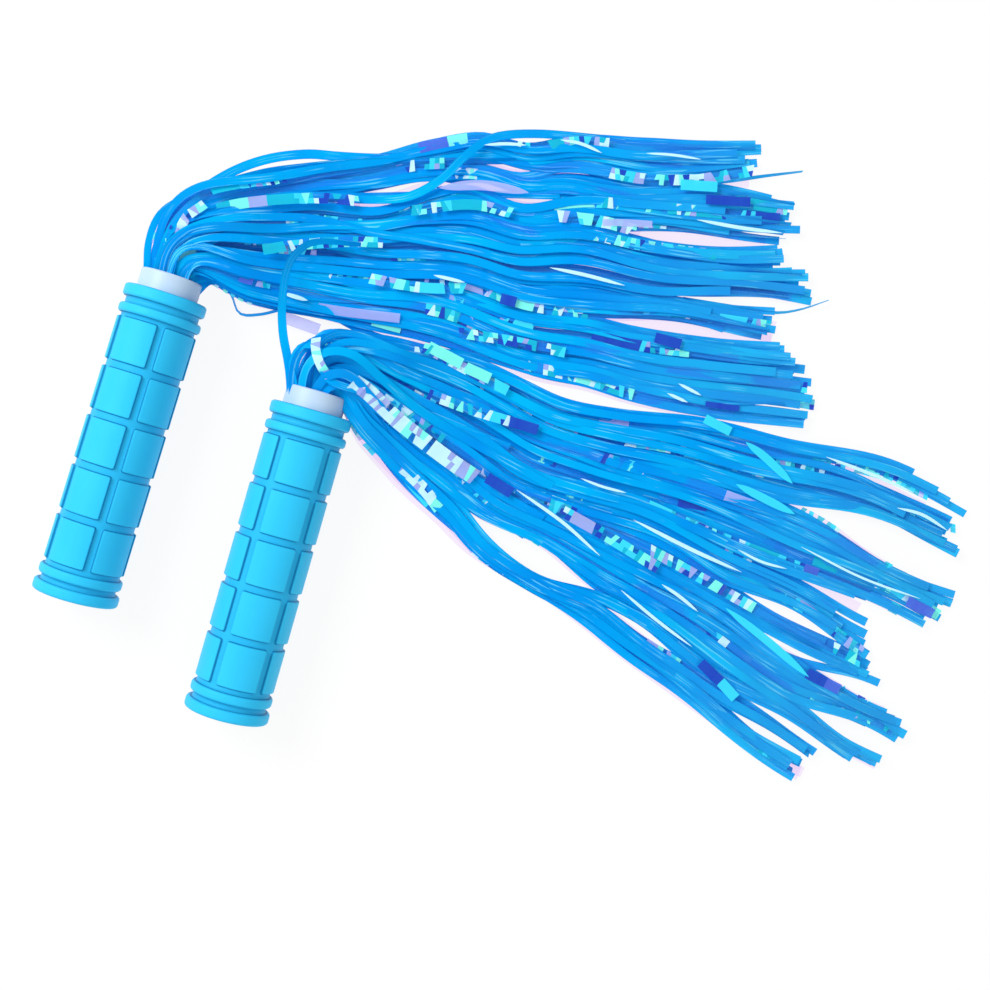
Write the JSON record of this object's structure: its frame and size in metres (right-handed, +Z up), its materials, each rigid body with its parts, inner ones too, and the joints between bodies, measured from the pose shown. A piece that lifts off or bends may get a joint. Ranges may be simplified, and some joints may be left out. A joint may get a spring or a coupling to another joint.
{
  "type": "streamer pom pom pair",
  "caption": "Pair of cheer pom poms: soft ribbed rubber hand grips with a plastic collar at one end, from which flat glossy ribbons and iridescent film strips fold over and fan out.",
  "frame": {"origin": "centre of the bore mouth (open end) of grip 1", "axes": "+Y along grip 1 towards its streamers, +X the side the streamers lie on, +Z up from the surface that both poms lie on (z = -16 mm)"},
  "size_m": [0.3379, 0.271, 0.032],
  "materials": {
    "grip_rubber": "satin sky-blue soft rubber with a fine moulded grain",
    "collar_plastic": "pale lavender-white moulded plastic",
    "pin_steel": "cut wire",
    "tie_nylon": "natural nylon",
    "hot_melt": "set hot-melt adhesive",
    "ribbon_plastic": "glossy translucent azure film ribbon",
    "iridescent_film": "crinkled iridescent film, mint to pink and navy"
  },
  "bodies": {
    "handle_1": {"grip_sleeve_1": "grip_rubber", "streamer_plug_1": "collar_plastic", "cross_pin_1": "pin_steel", "cable_tie_1": "tie_nylon", "hot_melt_1": "hot_melt", "gathered_strands_1": "ribbon_plastic"},
    "tassel_1": {"neck_bundle_1": "ribbon_plastic"},
    "lock_1_1": {"ribbons_root_1_1": "ribbon_plastic", "film_root_1_1": "iridescent_film"},
    "tip_1_1": {"ribbons_tip_1_1": "ribbon_plastic", "film_tip_1_1": "iridescent_film"},
    "lock_1_2": {"ribbons_root_1_2": "ribbon_plastic", "film_root_1_2": "iridescent_film"},
    "tip_1_2": {"ribbons_tip_1_2": "ribbon_plastic", "film_tip_1_2": "iridescent_film"},
    "lock_1_3": {"ribbons_root_1_3": "ribbon_plastic", "film_root_1_3": "iridescent_film"},
    "tip_1_3": {"ribbons_tip_1_3": "ribbon_plastic", "film_tip_1_3": "iridescent_film"},
    "lock_1_4": {"ribbons_root_1_4": "ribbon_plastic", "film_root_1_4": "iridescent_film"},
    "tip_1_4": {"ribbons_tip_1_4": "ribbon_plastic", "film_tip_1_4": "iridescent_film"},
    "handle_2": {"grip_sleeve_2": "grip_rubber", "streamer_plug_2": "collar_plastic", "cross_pin_2": "pin_steel", "cable_tie_2": "tie_nylon", "hot_melt_2": "hot_melt", "gathered_strands_2": "ribbon_plastic"},
    "tassel_2": {"neck_bundle_2": "ribbon_plastic"},
    "lock_2_1": {"ribbons_root_2_1": "ribbon_plastic", "film_root_2_1": "iridescent_film"},
    "tip_2_1": {"ribbons_tip_2_1": "ribbon_plastic", "film_tip_2_1": "iridescent_film"},
    "lock_2_2": {"ribbons_root_2_2": "ribbon_plastic", "film_root_2_2": "iridescent_film"},
    "tip_2_2": {"ribbons_tip_2_2": "ribbon_plastic", "film_tip_2_2": "iridescent_film"},
    "lock_2_3": {"ribbons_root_2_3": "ribbon_plastic", "film_root_2_3": "iridescent_film"},
    "tip_2_3": {"ribbons_tip_2_3": "ribbon_plastic", "film_tip_2_3": "iridescent_film"},
    "lock_2_4": {"ribbons_root_2_4": "ribbon_plastic", "film_root_2_4": "iridescent_film"},
    "tip_2_4": {"ribbons_tip_2_4": "ribbon_plastic", "film_tip_2_4": "iridescent_film"}
  },
  "joints": [
    {"name": "pom_2_lift", "type": "slide", "parent": "handle_1", "child": "handle_2", "axis": [0, 0, 1], "range_m": [0, 0.2]},
    {"name": "tassel_flop_1", "type": "hinge", "parent": "handle_1", "child": "tassel_1", "pos_m": [0, 0.1403, 0], "axis": [0, -1, 0], "range_deg": [0, 120]},
    {"name": "lock_lift_1_1", "type": "hinge", "parent": "tassel_1", "child": "lock_1_1", "pos_m": [0.03893, 0.1495, -0.0115], "axis": [0.23, -0.9732, 0], "range_deg": [0, 60]},
    {"name": "tip_curl_1_1", "type": "hinge", "parent": "lock_1_1", "child": "tip_1_1", "pos_m": [0.13235, 0.17159, -0.0125], "axis": [0.23, -0.9732, 0], "range_deg": [0, 60]},
    {"name": "lock_lift_1_2", "type": "hinge", "parent": "tassel_1", "child": "lock_1_2", "pos_m": [0.03893, 0.1495, -0.0115], "axis": [0.23, -0.9732, 0], "range_deg": [0, 60]},
    {"name": "tip_curl_1_2", "type": "hinge", "parent": "lock_1_2", "child": "tip_1_2", "pos_m": [0.13235, 0.17159, -0.0125], "axis": [0.23, -0.9732, 0], "range_deg": [0, 60]},
    {"name": "lock_lift_1_3", "type": "hinge", "parent": "tassel_1", "child": "lock_1_3", "pos_m": [0.03893, 0.1495, -0.0115], "axis": [0.23, -0.9732, 0], "range_deg": [0, 60]},
    {"name": "tip_curl_1_3", "type": "hinge", "parent": "lock_1_3", "child": "tip_1_3", "pos_m": [0.13235, 0.17159, -0.0125], "axis": [0.23, -0.9732, 0], "range_deg": [0, 60]},
    {"name": "lock_lift_1_4", "type": "hinge", "parent": "tassel_1", "child": "lock_1_4", "pos_m": [0.03893, 0.1495, -0.0115], "axis": [0.23, -0.9732, 0], "range_deg": [0, 60]},
    {"name": "tip_curl_1_4", "type": "hinge", "parent": "lock_1_4", "child": "tip_1_4", "pos_m": [0.13235, 0.17159, -0.0125], "axis": [0.23, -0.9732, 0], "range_deg": [0, 60]},
    {"name": "tassel_flop_2", "type": "hinge", "parent": "handle_2", "child": "tassel_2", "pos_m": [0.06441, 0.11487, 0], "axis": [0.0192, -0.9998, 0], "range_deg": [0, 120]},
    {"name": "lock_lift_2_1", "type": "hinge", "parent": "tassel_2", "child": "lock_2_1", "pos_m": [0.1038, 0.10793, -0.0115], "axis": [-0.1736, -0.9848, 0], "range_deg": [0, 60]},
    {"name": "tip_curl_2_1", "type": "hinge", "parent": "lock_2_1", "child": "tip_2_1", "pos_m": [0.19834, 0.09126, -0.0125], "axis": [-0.1736, -0.9848, 0], "range_deg": [0, 60]},
    {"name": "lock_lift_2_2", "type": "hinge", "parent": "tassel_2", "child": "lock_2_2", "pos_m": [0.1038, 0.10793, -0.0115], "axis": [-0.1736, -0.9848, 0], "range_deg": [0, 60]},
    {"name": "tip_curl_2_2", "type": "hinge", "parent": "lock_2_2", "child": "tip_2_2", "pos_m": [0.19834, 0.09126, -0.0125], "axis": [-0.1736, -0.9848, 0], "range_deg": [0, 60]},
    {"name": "lock_lift_2_3", "type": "hinge", "parent": "tassel_2", "child": "lock_2_3", "pos_m": [0.1038, 0.10793, -0.0115], "axis": [-0.1736, -0.9848, 0], "range_deg": [0, 60]},
    {"name": "tip_curl_2_3", "type": "hinge", "parent": "lock_2_3", "child": "tip_2_3", "pos_m": [0.19834, 0.09126, -0.0125], "axis": [-0.1736, -0.9848, 0], "range_deg": [0, 60]},
    {"name": "lock_lift_2_4", "type": "hinge", "parent": "tassel_2", "child": "lock_2_4", "pos_m": [0.1038, 0.10793, -0.0115], "axis": [-0.1736, -0.9848, 0], "range_deg": [0, 60]},
    {"name": "tip_curl_2_4", "type": "hinge", "parent": "lock_2_4", "child": "tip_2_4", "pos_m": [0.19834, 0.09126, -0.0125], "axis": [-0.1736, -0.9848, 0], "range_deg": [0, 60]}
  ]
}
